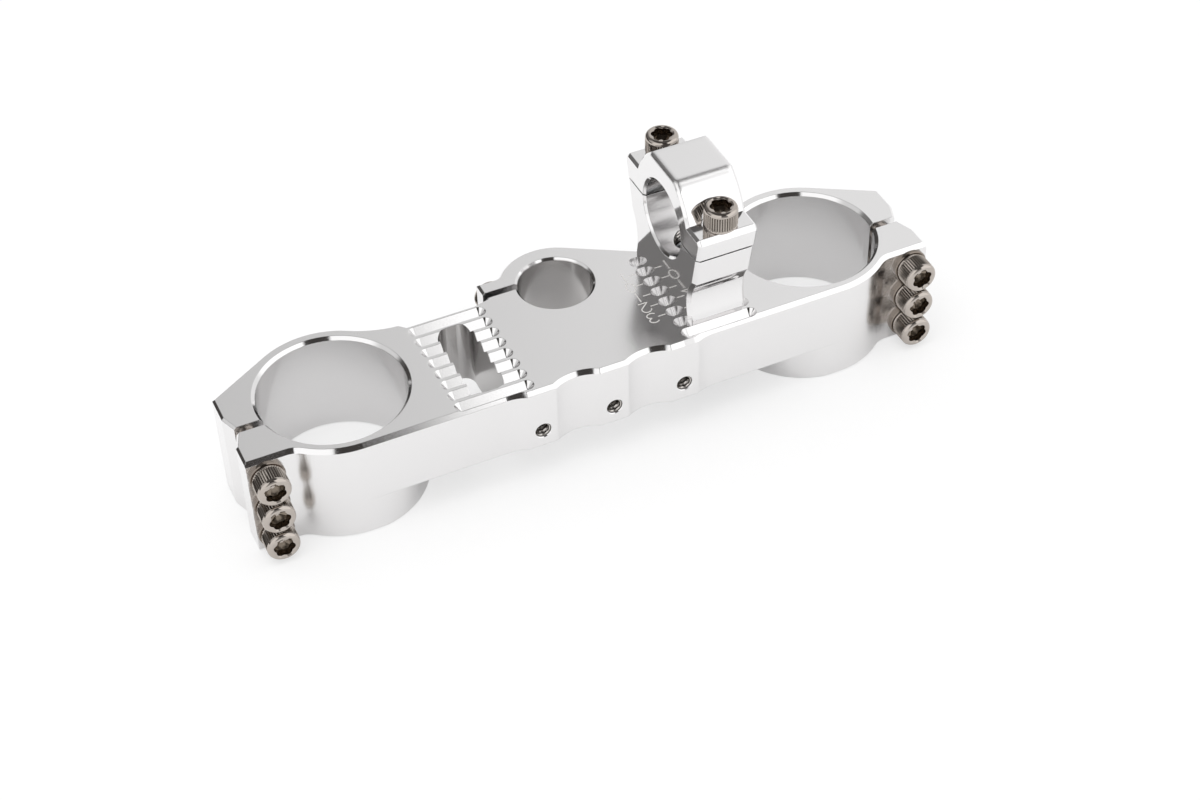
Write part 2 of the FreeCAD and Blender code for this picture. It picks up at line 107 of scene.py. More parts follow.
def add(tree, kind, inputs=None, **settings):
    """Adds one node. inputs maps a socket's name or number to a value or to an output to link."""
    node = tree.nodes.new(kind)
    for name, value in settings.items():
        setattr(node, name, value)
    for name, value in (inputs or {}).items():
        if isinstance(value, bpy.types.NodeSocket):
            tree.links.new(value, node.inputs[name])
        else:
            node.inputs[name].default_value = value
    return node


def metal(name, hex_code, roughness):
    """A new metal with its colour and roughness: gives its material, its node tree and its shader."""
    material = bpy.data.materials.new(name)
    material.use_nodes = True
    tree = material.node_tree
    shader = tree.nodes["Principled BSDF"]
    shader.inputs["Base Color"].default_value = colour(hex_code)
    shader.inputs["Metallic"].default_value = 1.0
    shader.inputs["Roughness"].default_value = roughness
    return material, tree, shader


# %% [markdown]
# A cutter leaves marks too fine to see one by one, yet they decide how a metal
# shines. They are drawn as noise, squeezed to the real spacing of the marks in
# one direction and stretched along the cutter's path in the other. The noise
# tilts the surface a little and makes its gloss uneven.

# %% Tool marks
def tool_marks(tree, spacing):
    """Marks as a height between 0 and 1, spacing (x, y, z) metres apart on the part's own coordinates."""
    place = add(tree, "ShaderNodeTexCoord")
    squeeze = add(tree, "ShaderNodeMapping", {"Vector": place.outputs["Object"],
                                              "Scale": [1 / s for s in spacing]})
    marks = add(tree, "ShaderNodeTexNoise", {"Vector": squeeze.outputs["Vector"], "Scale": 1.0,
                                             "Detail": 3.0, "Roughness": 0.6})
    return marks.outputs["Fac"]


def finish_with(tree, shader, height, depth, gloss, edge=0.0):
    """Turns a height between 0 and 1 into a bump of that depth and a roughness that swings by gloss.
    With an edge radius, light also runs round every sharp edge as if it were broken by that much."""
    bump = add(tree, "ShaderNodeBump", {"Height": height, "Distance": depth, "Strength": 0.6})
    if edge:
        broken = add(tree, "ShaderNodeBevel", {"Radius": edge}, samples=8)
        tree.links.new(broken.outputs["Normal"], bump.inputs["Normal"])
    tree.links.new(bump.outputs["Normal"], shader.inputs["Normal"])
    middle = shader.inputs["Roughness"].default_value
    # the height of the marks seldom leaves the range from 0.3 to 0.7
    swing = add(tree, "ShaderNodeMapRange", {"Value": height, "From Min": 0.3, "From Max": 0.7,
                                             "To Min": middle - gloss, "To Max": middle + gloss})
    tree.links.new(swing.outputs["Result"], shader.inputs["Roughness"])
    return swing.outputs["Result"]


# %% [markdown]
# The clamp is milled from a solid block of high-strength aluminium. A milled
# face looks almost like a mirror with breath on it: it carries the brightness
# of the room, blurred. The side of an end mill leaves upright lines on the
# walls, a boring bar leaves level rings in the bores. A mask tells the two
# apart: near enough to a bore's axis, the surface belongs to the bore.

# %% Milled aluminium of the clamp
milled_grey = "#e9e8e8"
milled, tree, shader = metal("milled aluminium", milled_grey, 0.2)
place = add(tree, "ShaderNodeTexCoord")
split = add(tree, "ShaderNodeSeparateXYZ", {0: place.outputs["Object"]})
across = add(tree, "ShaderNodeMath", {0: split.outputs["X"]}, operation="ABSOLUTE")
flat = add(tree, "ShaderNodeCombineXYZ", {"X": across.outputs[0], "Y": split.outputs["Y"]})
masks = []
for centre, radius in ((fork_axis, fork_radius), ((0.0, 0.0, 0.0), stem_radius)):
    away = add(tree, "ShaderNodeVectorMath", {0: flat.outputs[0], 1: (centre[0], centre[1], 0.0)},
               operation="DISTANCE")
    inside = add(tree, "ShaderNodeMath", {0: away.outputs["Value"], 1: radius + 0.2 * mm},
                 operation="LESS_THAN")
    masks.append(inside.outputs[0])
in_bore = add(tree, "ShaderNodeMath", {0: masks[0], 1: masks[1]}, operation="MAXIMUM")
upright = tool_marks(tree, (0.5 * mm, 0.5 * mm, 30 * mm))
level_rings = tool_marks(tree, (30 * mm, 30 * mm, 0.35 * mm))
cutter = add(tree, "ShaderNodeMix", {"Factor": in_bore.outputs[0], "A": upright, "B": level_rings})
rough = finish_with(tree, shader, cutter.outputs[0], 0.005 * mm, 0.03, edge=0.22 * mm)
print("bores:", round(fork_radius / mm, 2), "and", round(stem_radius / mm, 2), "mm in radius")

# %% [markdown]
# Chamfers and teeth come from a small fast cutter and are much clearer mirrors.
# They are the only slanting faces, so the slope of the surface finds them. The
# conical ends of the grooves beside the mount are the exception, because they
# came out satin.

# %% Clear chamfers and satin cones
facing = add(tree, "ShaderNodeNewGeometry")
tilt = add(tree, "ShaderNodeSeparateXYZ", {0: facing.outputs["True Normal"]})
steepness = add(tree, "ShaderNodeMath", {0: tilt.outputs["Z"]}, operation="ABSOLUTE")
slanting = add(tree, "ShaderNodeMath", {0: steepness.outputs[0], 1: 0.6, 2: 0.33}, operation="COMPARE")
clearer = add(tree, "ShaderNodeMath", {0: slanting.outputs[0], 1: -0.11, 2: rough},
              operation="MULTIPLY_ADD")
cone_x = base_low[0] - 2.4 * mm
beside_mount = add(tree, "ShaderNodeMath", {0: split.outputs["X"], 1: cone_x, 2: 2.0 * mm},
                   operation="COMPARE")
satin = add(tree, "ShaderNodeMath", {0: slanting.outputs[0], 1: beside_mount.outputs[0]},
            operation="MULTIPLY")
duller = add(tree, "ShaderNodeMath", {0: satin.outputs[0], 1: 0.2, 2: clearer.outputs[0]},
             operation="MULTIPLY_ADD")
tree.links.new(duller.outputs[0], shader.inputs["Roughness"])
print("satin cones at x", round(cone_x / mm, 2), "mm")

# %% [markdown]
# The stem's bore and the slots' upright walls mirror the paper in the shade
# under the plate, and a darker grey paints that shade onto them. The slots are
# found by their distance from the slot's middle, on both sides of the clamp alike.

# %% Painted shade on the clamp's inner walls
slot_across = add(tree, "ShaderNodeMath", {0: across.outputs[0], 1: -slot_middle[0], 2: 6.7 * mm},
                  operation="COMPARE")
slot_along = add(tree, "ShaderNodeMath", {0: split.outputs["Y"], 1: slot_middle[1], 2: 19.0 * mm},
                 operation="COMPARE")
wall = add(tree, "ShaderNodeMath", {0: steepness.outputs[0], 1: 0.2}, operation="LESS_THAN")
in_slot = add(tree, "ShaderNodeMath", {0: slot_across.outputs[0], 1: slot_along.outputs[0]},
              operation="MULTIPLY")
slot_wall = add(tree, "ShaderNodeMath", {0: in_slot.outputs[0], 1: wall.outputs[0]}, operation="MULTIPLY")
painted_wall_shade = add(tree, "ShaderNodeMath", {0: masks[1], 1: slot_wall.outputs[0]}, operation="MAXIMUM")
# painted shade: a darker grey on the stem's bore and the slots' upright walls
wall_shade_tone = add(tree, "ShaderNodeMix", {"Factor": painted_wall_shade.outputs[0], "A": colour(milled_grey),
                                   "B": colour("#cccac9")}, data_type="RGBA")
tree.links.new(wall_shade_tone.outputs[2], shader.inputs["Base Color"])
print("slots at x", round(slot_middle[0] / mm, 2), "and", round(-slot_middle[0] / mm, 2), "mm")

# %% [markdown]
# The bar mount is milled finer than the clamp, and its flat sides mirror what
# stands beside them, the grooves of the pad above all. It gets the same metal
# with much less blur. Only the handlebar's seat was bored, and it is duller, so
# the distance from the seat's axis picks it out. The crown on the cap ends in a
# soft edge that mirrors the dark overhead as a band, so the light runs round
# that edge in a wider bend than round the others.

# %% Fine-milled aluminium of the bar mount
fine_milled, tree, shader = metal("fine milled aluminium", "#ebeaea", 0.07)
place = add(tree, "ShaderNodeTexCoord")
split = add(tree, "ShaderNodeSeparateXYZ", {0: place.outputs["Object"]})
crown_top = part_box("bar_mount_cap")[1][2]
edge = add(tree, "ShaderNodeMapRange", {"Value": split.outputs["Z"], "From Min": crown_top - 3.0 * mm,
                                        "From Max": crown_top - 2.0 * mm, "To Min": 0.35 * mm,
                                        "To Max": 2.4 * mm})
level_lines = tool_marks(tree, (20 * mm, 20 * mm, 0.4 * mm))
rough = finish_with(tree, shader, level_lines, 0.0012 * mm, 0.02, edge=edge.outputs["Result"])
beside = add(tree, "ShaderNodeCombineXYZ", {"Y": split.outputs["Y"], "Z": split.outputs["Z"]})
away = add(tree, "ShaderNodeVectorMath", {0: beside.outputs[0], 1: (0.0, seat_axis[1], seat_axis[2])},
           operation="DISTANCE")
in_seat = add(tree, "ShaderNodeMath", {0: away.outputs["Value"], 1: seat_radius + 0.1 * mm},
              operation="LESS_THAN")
duller = add(tree, "ShaderNodeMath", {0: in_seat.outputs[0], 1: 0.1, 2: rough}, operation="MULTIPLY_ADD")
tree.links.new(duller.outputs[0], shader.inputs["Roughness"])
print("crown ends at z", round(crown_top / mm, 2), "mm, seat radius", round(seat_radius / mm, 2), "mm")

# %% [markdown]
# The screws are hardened steel under a bright nickel layer, a warmer mirror
# than aluminium. The knurl's valleys carry painted shade: the mesh of such a
# piece says at each point how far it stands out, in an attribute called crest,
# and the colour darkens from the ridges down into the valleys. The sockets get
# a darker colour as painted shade of their recess. The washers come from the
# same bath, but they were stamped and tumbled first, so they are duller.

# %% Nickel-plated steel of the screws and washers
def paint_valley_shade(tree, shader, valley_shade, ridge):
    """Paints shade into a ridged piece's valleys from its crest attribute, 0 in the valleys and 1 on the
    ridges.
    """
    crest = add(tree, "ShaderNodeAttribute", attribute_name="crest")
    both = add(tree, "ShaderNodeMix", {"Factor": crest.outputs["Fac"], "A": colour(valley_shade),
                                       "B": colour(ridge)}, data_type="RGBA")
    tree.links.new(both.outputs[2], shader.inputs["Base Color"])


nickel, tree, shader = metal("nickel plated steel", "#b8b0a9", 0.07)
finish_with(tree, shader, tool_marks(tree, (3 * mm, 3 * mm, 3 * mm)), 0.003 * mm, 0.03)
rolled_nickel, tree, shader = metal("knurled nickel plated steel", "#968c83", 0.16)
finish_with(tree, shader, tool_marks(tree, (1 * mm, 1 * mm, 1 * mm)), 0.003 * mm, 0.04)
# painted shade in the knurl's valleys; the ridges keep about the nickel's own colour
paint_valley_shade(tree, shader, "#4a423b", "#bfb7af")
# painted shade: the sockets' recess gets a darker colour than the nickel
painted_socket_shade, tree, shader = metal("broached steel of the sockets", "#80766b", 0.16)
finish_with(tree, shader, tool_marks(tree, (1 * mm, 1 * mm, 1 * mm)), 0.004 * mm, 0.05)
stamped_nickel, tree, shader = metal("stamped nickel plated steel", "#867d75", 0.16)
finish_with(tree, shader, tool_marks(tree, (2 * mm, 2 * mm, 2 * mm)), 0.004 * mm, 0.05)
print("finishes of the screws:", nickel.name, "|", rolled_nickel.name, "|", painted_socket_shade.name)

# %% [markdown]
# The bolt below the plate is zinc plated, as bought: a bluish, slightly cloudy
# grey. Zinc grows in small patches, and they are what the noise stands for.

# %% Zinc-plated steel of the bolt below
zinc, tree, shader = metal("zinc plated steel", "#b9bcbf", 0.32)
finish_with(tree, shader, tool_marks(tree, (5 * mm, 5 * mm, 5 * mm)), 0.01 * mm, 0.08)
print("finish of the bolt:", zinc.name)

# %% [markdown]
# The bodies in the frame have the right shape already, so all they need is
# their metal. The clamp, the mount and the bolt are named here. Whatever else
# there is in the frame is a washer or a screw, and its name says which.

# %% Each machined body takes its metal
finishes = {"clamp_body": milled, "bar_mount_base": fine_milled, "bar_mount_cap": fine_milled,
            "mount_bolt": zinc, "mount_bolt_washer": zinc}
for name, node in frame["nodes"].items():
    finish = finishes.get(name, stamped_nickel if "washer" in name else nickel)
    node.data.materials.clear()
    node.data.materials.append(finish)
print("materials:", sorted(m.name for m in bpy.data.materials if m.users))

# %% [markdown]
# Every piece below is a grid of points: rows of points, each row closed round
# its own loop. Four neighbours make a face. Where the piece is solid like a
# bar, a single point closes each end. Where it is hollow like a ring, the last
# row joins the first. One function does both, so no shape needs its own.

# %% The faces of a grid
def grid_faces(count, turns, ring):
    """Faces of count rows by turns points: quads join (i, j), (i, j + 1), (i + 1, j + 1) and (i + 1, j).
    Without ring, a fan at each end joins the row to an end point, numbered after the grid's points."""
    last_start = count if ring else count - 1
    i, j = np.meshgrid(np.arange(last_start), np.arange(turns), indexing="ij")
    after = (i + 1) % count
    nxt = (j + 1) % turns
    quads = np.stack([i * turns + j, i * turns + nxt, after * turns + nxt, after * turns + j], axis=-1)
    faces = quads.reshape(-1, 4).tolist()
    if ring:
        return faces
    k = np.arange(turns)
    end_point = np.full(turns, count * turns)
    last_row = (count - 1) * turns
    faces += np.stack([end_point, (k + 1) % turns, k], axis=-1).tolist()
    faces += np.stack([end_point + 1, last_row + k, last_row + (k + 1) % turns], axis=-1).tolist()
    return faces


print("4 rows of 6 points:", len(grid_faces(4, 6, True)), "faces as a ring and",
      len(grid_faces(4, 6, False)), "as a bar")

# %% [markdown]
# The grid becomes a mesh that is smooth but for its real edges. A piece can
# have more than one finish, each over a band of rows, and it can keep at each
# point how far it stands out. Its place goes into the points themselves, as in
# the machined bodies, so that tool marks have the same size everywhere.

# %% From a grid to a piece
def closed_surface(name, rows, finish, ring=False, place=np.eye(4), bands=(), crest=None):
    """A mesh from a grid of points (rows, turns, 3), each moved to turn @ point + shift by place.
    Each of the bands is another finish with the first and last row it covers.
    crest is how far each point stands out, 0 to 1, for the finishes that show ridges."""
    count, turns = rows.shape[:2]
    points = rows.reshape(-1, 3)
    if not ring:
        points = np.vstack([points, rows[0].mean(axis=0), rows[-1].mean(axis=0)])
    points = points @ place[:3, :3].T + place[:3, 3]
    mesh = bpy.data.meshes.new(name)
    mesh.from_pydata(points.tolist(), [], grid_faces(count, turns, ring))
    if crest is not None:
        mark = mesh.attributes.new("crest", "FLOAT", "POINT")
        mark.data.foreach_set("value", np.resize(crest, len(points)))
    mesh.materials.append(finish)
    row_of_face = np.arange(len(mesh.polygons)) // turns
    which = np.zeros(len(mesh.polygons), np.int32)
    for number, (other, first_row, last_row) in enumerate(bands, start=1):
        mesh.materials.append(other)
        which[(row_of_face >= first_row) & (row_of_face < last_row)] = number
    mesh.polygons.foreach_set("material_index", which)
    mesh.shade_smooth()
    mesh.set_sharp_from_angle(angle=math.radians(28))
    piece = bpy.data.objects.new(name, mesh)
    bpy.context.collection.objects.link(piece)
    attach(piece, ROOT)
    return piece


# %% [markdown]
# A screw is a turned shape: a list of radius and height, carried round an axis.
# Every screw is worked out upright with its seat at zero, and a matrix then
# stands it along its own direction.

# %% Turned shapes
def stands_out(radius):
    """How far each point stands out: (r - smallest) / (largest - smallest) in its row, 1 if it is round."""
    low = radius.min(axis=1, keepdims=True)
    swing = radius.max(axis=1, keepdims=True) - low
    return np.where(swing > 0, (radius - low) / np.maximum(swing, 1e-9), 1.0)


def turned_rows(radius, height, angle):
    """Rows of a turned shape: radius and height, one row each, carried round the angles."""
    r = np.array([row * np.ones_like(angle) for row in radius])
    z = np.array([row * np.ones_like(angle) for row in height])
    return np.stack([r * np.cos(angle), r * np.sin(angle), z], axis=-1)


def standing(foot, direction, twist=0.0):
    """The matrix that stands a shape's z axis along direction, its origin at foot, turned by twist."""
    z = np.array(direction, float)
    helper = np.array([1.0, 0, 0]) if abs(z[0]) < 0.9 else np.array([0, 1.0, 0])
    x = np.cross(helper, z)
    x /= np.linalg.norm(x)
    y = np.cross(z, x)
    matrix = np.eye(4)
    matrix[:3, 0] = x * math.cos(twist) + y * math.sin(twist)
    matrix[:3, 1] = y * math.cos(twist) - x * math.sin(twist)
    matrix[:3, 2] = z
    matrix[:3, 3] = foot
    return matrix


print("crest of a row from 3 to 4:", stands_out(np.array([[3.0, 3.5, 4.0]]))[0].tolist())

# %% [markdown]
# Each screw is one turned surface. Going round it, the radius swings: with the
# knurl on the head, with the helix on the thread, and with the six lobes in the
# socket. A thread is a triangle wave of height minus a share of the turn, so
# the same wave gives every turn of it. The real knurl has about sixty ridges.
# Forty are drawn, because finer ones blur away at this picture's size.
# They are cut deep, because their flanks mirror each other and turn dark.

# %% The wave forms of a screw
knurl_ridges = 40
theta = np.linspace(0, 2 * math.pi, knurl_ridges * 4, endpoint=False)
round_angle = theta / (2 * math.pi)


def triangle(phase):
    """A wave from 0 up to 1 and back to 0 over each whole phase."""
    return 1 - np.abs(2 * (phase % 1) - 1)


def lobes(point_radius, hollow_radius):
    """Radius of a six-lobe socket round its axis: a raised cosine between points and hollows."""
    wave = 0.5 + 0.5 * np.cos(6 * theta)
    return hollow_radius + (point_radius - hollow_radius) * wave ** 0.6


# %% [markdown]
# A screw could be built from a cylinder with a thread and a socket cut into it.
# As one profile it has no seams. The list of radius and height starts at the
# tip, climbs the thread, goes out under the head, up the knurl, round the rim
# and down into the socket. A radius is one number where the screw is round, and
# a whole wave where it isn't.

# %% The screw as rows of radius and height
head_height = 8.5 * mm
knurl_depth = 0.34 * mm
rim_round = 1.6 * mm
socket_depth = 3.2 * mm
plain_step = 0.15 * mm  # how far the plain bands beside the knurl stand back
run_out = 1.6 * mm  # the thread grows to its full depth over this length
rows_per_turn = 4


def screw_rows(head_radius, shank_radius, length, pitch):
    """Rows from a screw's tip up its thread, round its head and down into its socket; seat at zero.
    Thread: r = shank - ridge * (1 - triangle(z / pitch - turn)). Knurl: r = head - depth * (1 - triangle).
    Also gives the bands of rows where the knurl and the socket are."""
    z = np.linspace(-length + 0.9 * mm, -0.2 * mm, int(length / pitch * rows_per_turn))
    ridge = 0.6 * pitch
    rise = np.clip((z + length) / run_out, 0, 1)[:, None]
    thread = shank_radius - ridge * (1 - triangle(z[:, None] / pitch - round_angle)) * rise
    knurl = head_radius - knurl_depth * (1 - triangle(round_angle * knurl_ridges))
    socket = lobes(0.64 * head_radius, 0.54 * head_radius)
    core = shank_radius - ridge
    top = head_height
    turn = np.radians([0, 18, 36, 54, 72, 90])
    rim = list(zip(head_radius - rim_round * (1 - np.cos(turn)), top - rim_round * (1 - np.sin(turn))))
    rows = [(core * 0.8, -length), (core, -length + 0.4 * mm)] + list(zip(thread, z)) + [
        (shank_radius, 0),
        (head_radius - 0.6 * mm, 0),
        (head_radius - plain_step, 0.35 * mm),
        (head_radius - plain_step, 0.9 * mm),
        (knurl, 1.1 * mm),
        (knurl, top - rim_round - 0.2 * mm),
        (head_radius - plain_step, top - rim_round - 0.1 * mm),
    ] + rim + [
        (socket + 0.1 * mm, top - 0.3 * mm),
        (socket, top - 0.5 * mm),
        (socket, top - socket_depth),
        (socket * 0.25, top - socket_depth - 0.8 * mm),
    ]
    first_knurled = len(z) + 6
    bands = [(rolled_nickel, first_knurled, first_knurled + 2), (painted_socket_shade, len(rows) - 3, len(rows))]
    return turned_rows([r for r, h in rows], [h for r, h in rows], theta), bands


# %% [markdown]
# The node that a screw replaces says where it is. Its box gives the width of
# the head, the whole length and, with the height of the head, the seat.

# %% Every screw in its place
def screw(node, direction, pitch, shank_radius, twist):
    """Replaces a screw's node by its detailed surface, where the node's box says it is."""
    low, high = (np.array(corner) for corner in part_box(node))
    axis = np.array(direction, float)
    whole = abs(axis @ (high - low))
    head_radius = max(high - low - np.abs(axis) * whole) / 2
    seat = (low + high) / 2 + axis * (whole / 2 - head_height)
    rows, bands = screw_rows(head_radius, shank_radius, whole - head_height, pitch)
    crest = stands_out(np.hypot(rows[..., 0], rows[..., 1]))
    piece = closed_surface(f"{node}_detailed", rows, nickel, place=standing(seat, axis, twist),
                           bands=bands, crest=crest)
    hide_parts(node)
    return head_radius


front, rear, up = (0, -1, 0), (0, 1, 0), (0, 0, 1)
# nobody lines up the sockets when tightening screws, so each is turned to its own angle
twists = {"left_pinch_screw_top": 0.1, "left_pinch_screw_middle": 0.65, "left_pinch_screw_bottom": 0.35,
          "right_pinch_screw_top": 0.9, "right_pinch_screw_middle": 0.5, "right_pinch_screw_bottom": 0.25}
m8 = (1.25 * mm, 3.98 * mm)  # pitch and radius, a hair under the radius of the hole
m6 = (1.0 * mm, 2.98 * mm)
for name, twist in twists.items():
    head_radius = screw(name, front, *m8, twist)
screw("stem_pinch_screw", rear, *m6, 0.4)
screw("cap_screw_front", up, *m6, 0.26)
screw("cap_screw_rear", up, *m6, 0.0)
print("screw heads", round(2 * head_radius / mm, 2), "mm wide,", len(theta), "points round each")

# %% [markdown]
# A tap cuts threads without the light of the room ever reaching them well, and
# it tears the metal a little, so a tapped hole looks duller than the wall around
# it. Here too the colour follows the crest attribute, as painted shade: nearly
# black in the valleys and bright on the ridges.

# %% Tapped aluminium of the threads
tapped, tree, shader = metal("tapped aluminium", "#a8a29c", 0.18)
finish_with(tree, shader, tool_marks(tree, (0.3 * mm, 0.3 * mm, 0.3 * mm)), 0.005 * mm, 0.06)
# painted shade: nearly black in the thread's valleys, pale aluminium on its ridges
paint_valley_shade(tree, shader, "#14110f", "#e6e1dc")
print("finish of the threads:", tapped.name)

# %% [markdown]
# The three holes in the front wall carry threads. A thread inside a hole
# is the same wave with the ridges pointing at the axis. It is made as a thin
# sleeve: its outer wall is sunk in the metal, and only the ridges show. The
# real turns are 1 mm apart. They are drawn 1.7 mm apart, because finer ones
# blur away at this picture's size.

# %% Threads inside holes
sleeve_ridge = 0.6 * mm
sleeve_sunk = 0.1 * mm  # how deep the sleeve's outer wall lies in the metal
sleeve_proud = 0.03 * mm  # how far its valleys stand out of the hole's wall, so that they show


def thread_sleeve(name, place, radius, bottom, top, pitch):
    """A ring that lines a hole. Inside it, r = wall - ridge * triangle(z / pitch - turn).
    top may be one height or a height for each angle."""
    steps = int(abs(np.max(top) - bottom) / pitch * 8)
    share = np.linspace(0.99, 0.01, steps)[:, None]
    top = top * np.ones_like(theta)
    foot = bottom * np.ones_like(theta)
    z = bottom + share * (top - bottom)
    outer = np.full_like(theta, radius + sleeve_sunk)
    wall = np.full_like(theta, radius - sleeve_proud)
    inner = wall - sleeve_ridge * triangle(z / pitch - round_angle)
    r = np.vstack([outer, outer, wall, inner, wall])
    h = np.vstack([foot, top, top, z, foot])
    rows = np.stack([r * np.cos(theta), r * np.sin(theta), h], axis=-1)
    return closed_surface(name, rows, tapped, ring=True, place=place, crest=1 - stands_out(r))


for side in ("left", "middle", "right"):
    hole = mounts[f"front_hole_{side}"]
    depth = hole["dims"]["length_mm"] * mm
    thread_sleeve(f"{side}_front_thread", standing(hole["pos_m"], front), hole["dims"]["r_mm"] * mm,
                  -0.8 * depth, -0.3 * mm, 1.7 * mm)
print("front threads:", round(0.8 * depth / mm, 1), "mm deep")

# %% [markdown]
# The bolt's threaded hole comes out in the seat of the handlebar, and the photo
# shows its teeth there. The sleeve's upper edge follows the seat: at each angle
# it ends where the round seat begins.

# %% The thread that shows in the handlebar's seat
bolt_hole_radius = 6.05 * mm
bolt_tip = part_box("mount_bolt")[1][2] - seat_axis[2] + 0.1 * mm
bolt_thread_place = standing(seat_axis, up)
across_seat = bolt_thread_place[1, 0] * np.cos(theta) + bolt_thread_place[1, 1] * np.sin(theta)
seat_floor = -np.sqrt(seat_radius ** 2 - (bolt_hole_radius * across_seat) ** 2) - 0.15 * mm
thread_sleeve("bolt_hole_thread", bolt_thread_place, bolt_hole_radius, bolt_tip, seat_floor, 1.75 * mm)
print("bolt's thread starts", round(-bolt_tip / mm, 2), "mm below the seat's axis")

# %% [markdown]
# A scale is engraved beside the right pad: a line for every second setting of
# the mount and a number for each line. An engraving cutter ploughs a fine,
# rough groove that looks bright from everywhere. The plate can't be cut here,
# so each stroke is a low, rough bead that catches the light as the groove does.
# A stroke is a profile carried along a path.

# %% Engraved strokes
engraved, tree, shader = metal("engraved aluminium", "#f7f5f2", 0.6)
# the metal is torn so finely that half of its light comes back scattered, as from chalk
shader.inputs["Metallic"].default_value = 0.5
finish_with(tree, shader, tool_marks(tree, (0.2 * mm, 0.2 * mm, 0.2 * mm)), 0.01 * mm, 0.08)
bead_profile = np.array([(-1.0, -0.4), (1.0, -0.4), (1.0, 0.2), (0.6, 0.8), (0.0, 1.0), (-0.6, 0.8),
                         (-1.0, 0.2)])
stroke_half = 0.23 * mm
bead_height = 0.09 * mm


def stroke(name, path, place):
    """A flat path (n by 2) with the bead's profile square to it at each point: p + u * square, v up.
    The ends are closed, or joined where the path comes back to its start."""
    joined = np.allclose(path[0], path[-1])
    if joined:
        path = path[:-1]
        along = np.roll(path, -1, axis=0) - np.roll(path, 1, axis=0)
    else:
        along = np.gradient(path, axis=0)
    along /= np.linalg.norm(along, axis=1)[:, None]
    square = np.stack([-along[:, 1], along[:, 0]], axis=-1)
    flat = path[:, None, :] + square[:, None, :] * bead_profile[None, :, :1] * stroke_half
    lift = np.broadcast_to(bead_profile[None, :, 1:] * bead_height, flat.shape[:2] + (1,))
    rows = np.concatenate([flat, lift], axis=-1)
    return closed_surface(name, rows, engraved, ring=joined, place=place)


def curve_through(centre, radii, first, last, count=24):
    """Part of an ellipse, centre + (a * cos, b * sin), between two angles in degrees."""
    angle = np.radians(np.linspace(first, last, count))
    return np.stack([centre[0] + radii[0] * np.cos(angle), centre[1] + radii[1] * np.sin(angle)], axis=-1)


print("strokes:", round(2 * stroke_half / mm, 2), "mm wide and", round(bead_height / mm, 2), "mm high")

# %% [markdown]
# An engraver draws each number in one stroke. Its path is made of parts of
# ellipses and straight runs inside a box as wide and high as the real number.

# %% Numbers as strokes
digit_height = 5.2 * mm
digit_width = 3.6 * mm


def digit_path(number):
    """The path of a digit in its own frame, right along u and up along v, its middle at zero."""
    w, h = digit_width / 2, digit_height / 2
    if number == 0:
        return curve_through((0, 0), (0.85 * w, h), 90, 450, 40)
    if number == 1:
        return np.linspace((0, -h), (0, h), 8)
    if number == 2:
        head = curve_through((0, h - 0.9 * w), (w, 0.9 * w), 170, -30)
        foot = np.linspace(head[-1], (-w, -h), 8)[1:]
        return np.vstack([head, foot, np.linspace((-w, -h), (w, -h), 8)[1:]])
    if number == 3:
        upper = curve_through((0, h / 2), (w, h / 2), 150, -75)
        lower = curve_through((0, -h / 2), (w, h / 2), 75, -150)
        return np.vstack([upper, lower])
    flag = np.linspace((w, h), (-0.7 * w, h), 8)
    neck = np.linspace((-0.7 * w, h), (-0.8 * w, 0.1 * h), 6)[1:]
    return np.vstack([flag, neck, curve_through((0, -0.35 * h), (w, 0.6 * h), 130, -150)])


# %% [markdown]
# The numbers are read by the rider, who looks forward over the clamp, so their
# right is the part's -X and their up is -Y. The lines start at the tips of the
# grooves, and both follow the grooves' own pitch.

# %% The scale beside the right pad
tooth_pitch = 6.25 * mm
rider = np.array([[-1, 0, 0, 0], [0, -1, 0, 0], [0, 0, 1, 0], [0, 0, 0, 1]], float)
groove_half = 15.0 * mm
line_away = 1.8 * mm  # from the grooves' tips to the middle of a line
number_away = 5.3 * mm  # from the grooves' tips to the middle of a number
tip_x = -slot_middle[0] - groove_half
for position, (number, step) in enumerate(zip((1, 0, 1, 2, 3), (2.5, 1.5, 0.5, -0.5, -1.5))):
    y = slot_middle[1] + step * tooth_pitch
    place = rider.copy()
    place[:3, 3] = (tip_x - line_away, y, top_z)
    stroke(f"scale_line_{position}", np.linspace((-1.5 * mm, 0), (1.5 * mm, 0), 6), place)
    place[:3, 3] = (tip_x - number_away, y, top_z)
    stroke(f"scale_number_{position}", digit_path(number), place)
print("scale lines:", position + 1, "with a pitch of", round(tooth_pitch / mm, 2), "mm")

# %% [markdown]
# The mount's outer side carries its height, 35, and a line at its middle to
# read the scale with. That side is away from the camera, but it is there.

# %% The marks on the mount's outer side
outer_side = np.array([[0, 0, 1, base_high[0]], [1, 0, 0, 0], [0, 1, 0, 0], [0, 0, 0, 1]], float)
for mark, path, along, height in (("three", digit_path(3), -2.4, 16.5), ("five", digit_path(5), 2.4, 16.5),
                                  ("line", np.linspace((0, -3 * mm), (0, 3 * mm), 8), 0, 8.5)):
    place = outer_side.copy()
    place[1, 3] = seat_axis[1] + along * mm
    place[2, 3] = top_z + height * mm
    stroke(f"mount_mark_{mark}", path, place)

# %% [markdown]
# The object lies on a sheet of white paper. The camera sees a little more plain
# white than lit paper, which keeps the shadow as light as it is on a bright
# studio table. Mirror rays see some of that white too, so the metal and the
# paper agree.

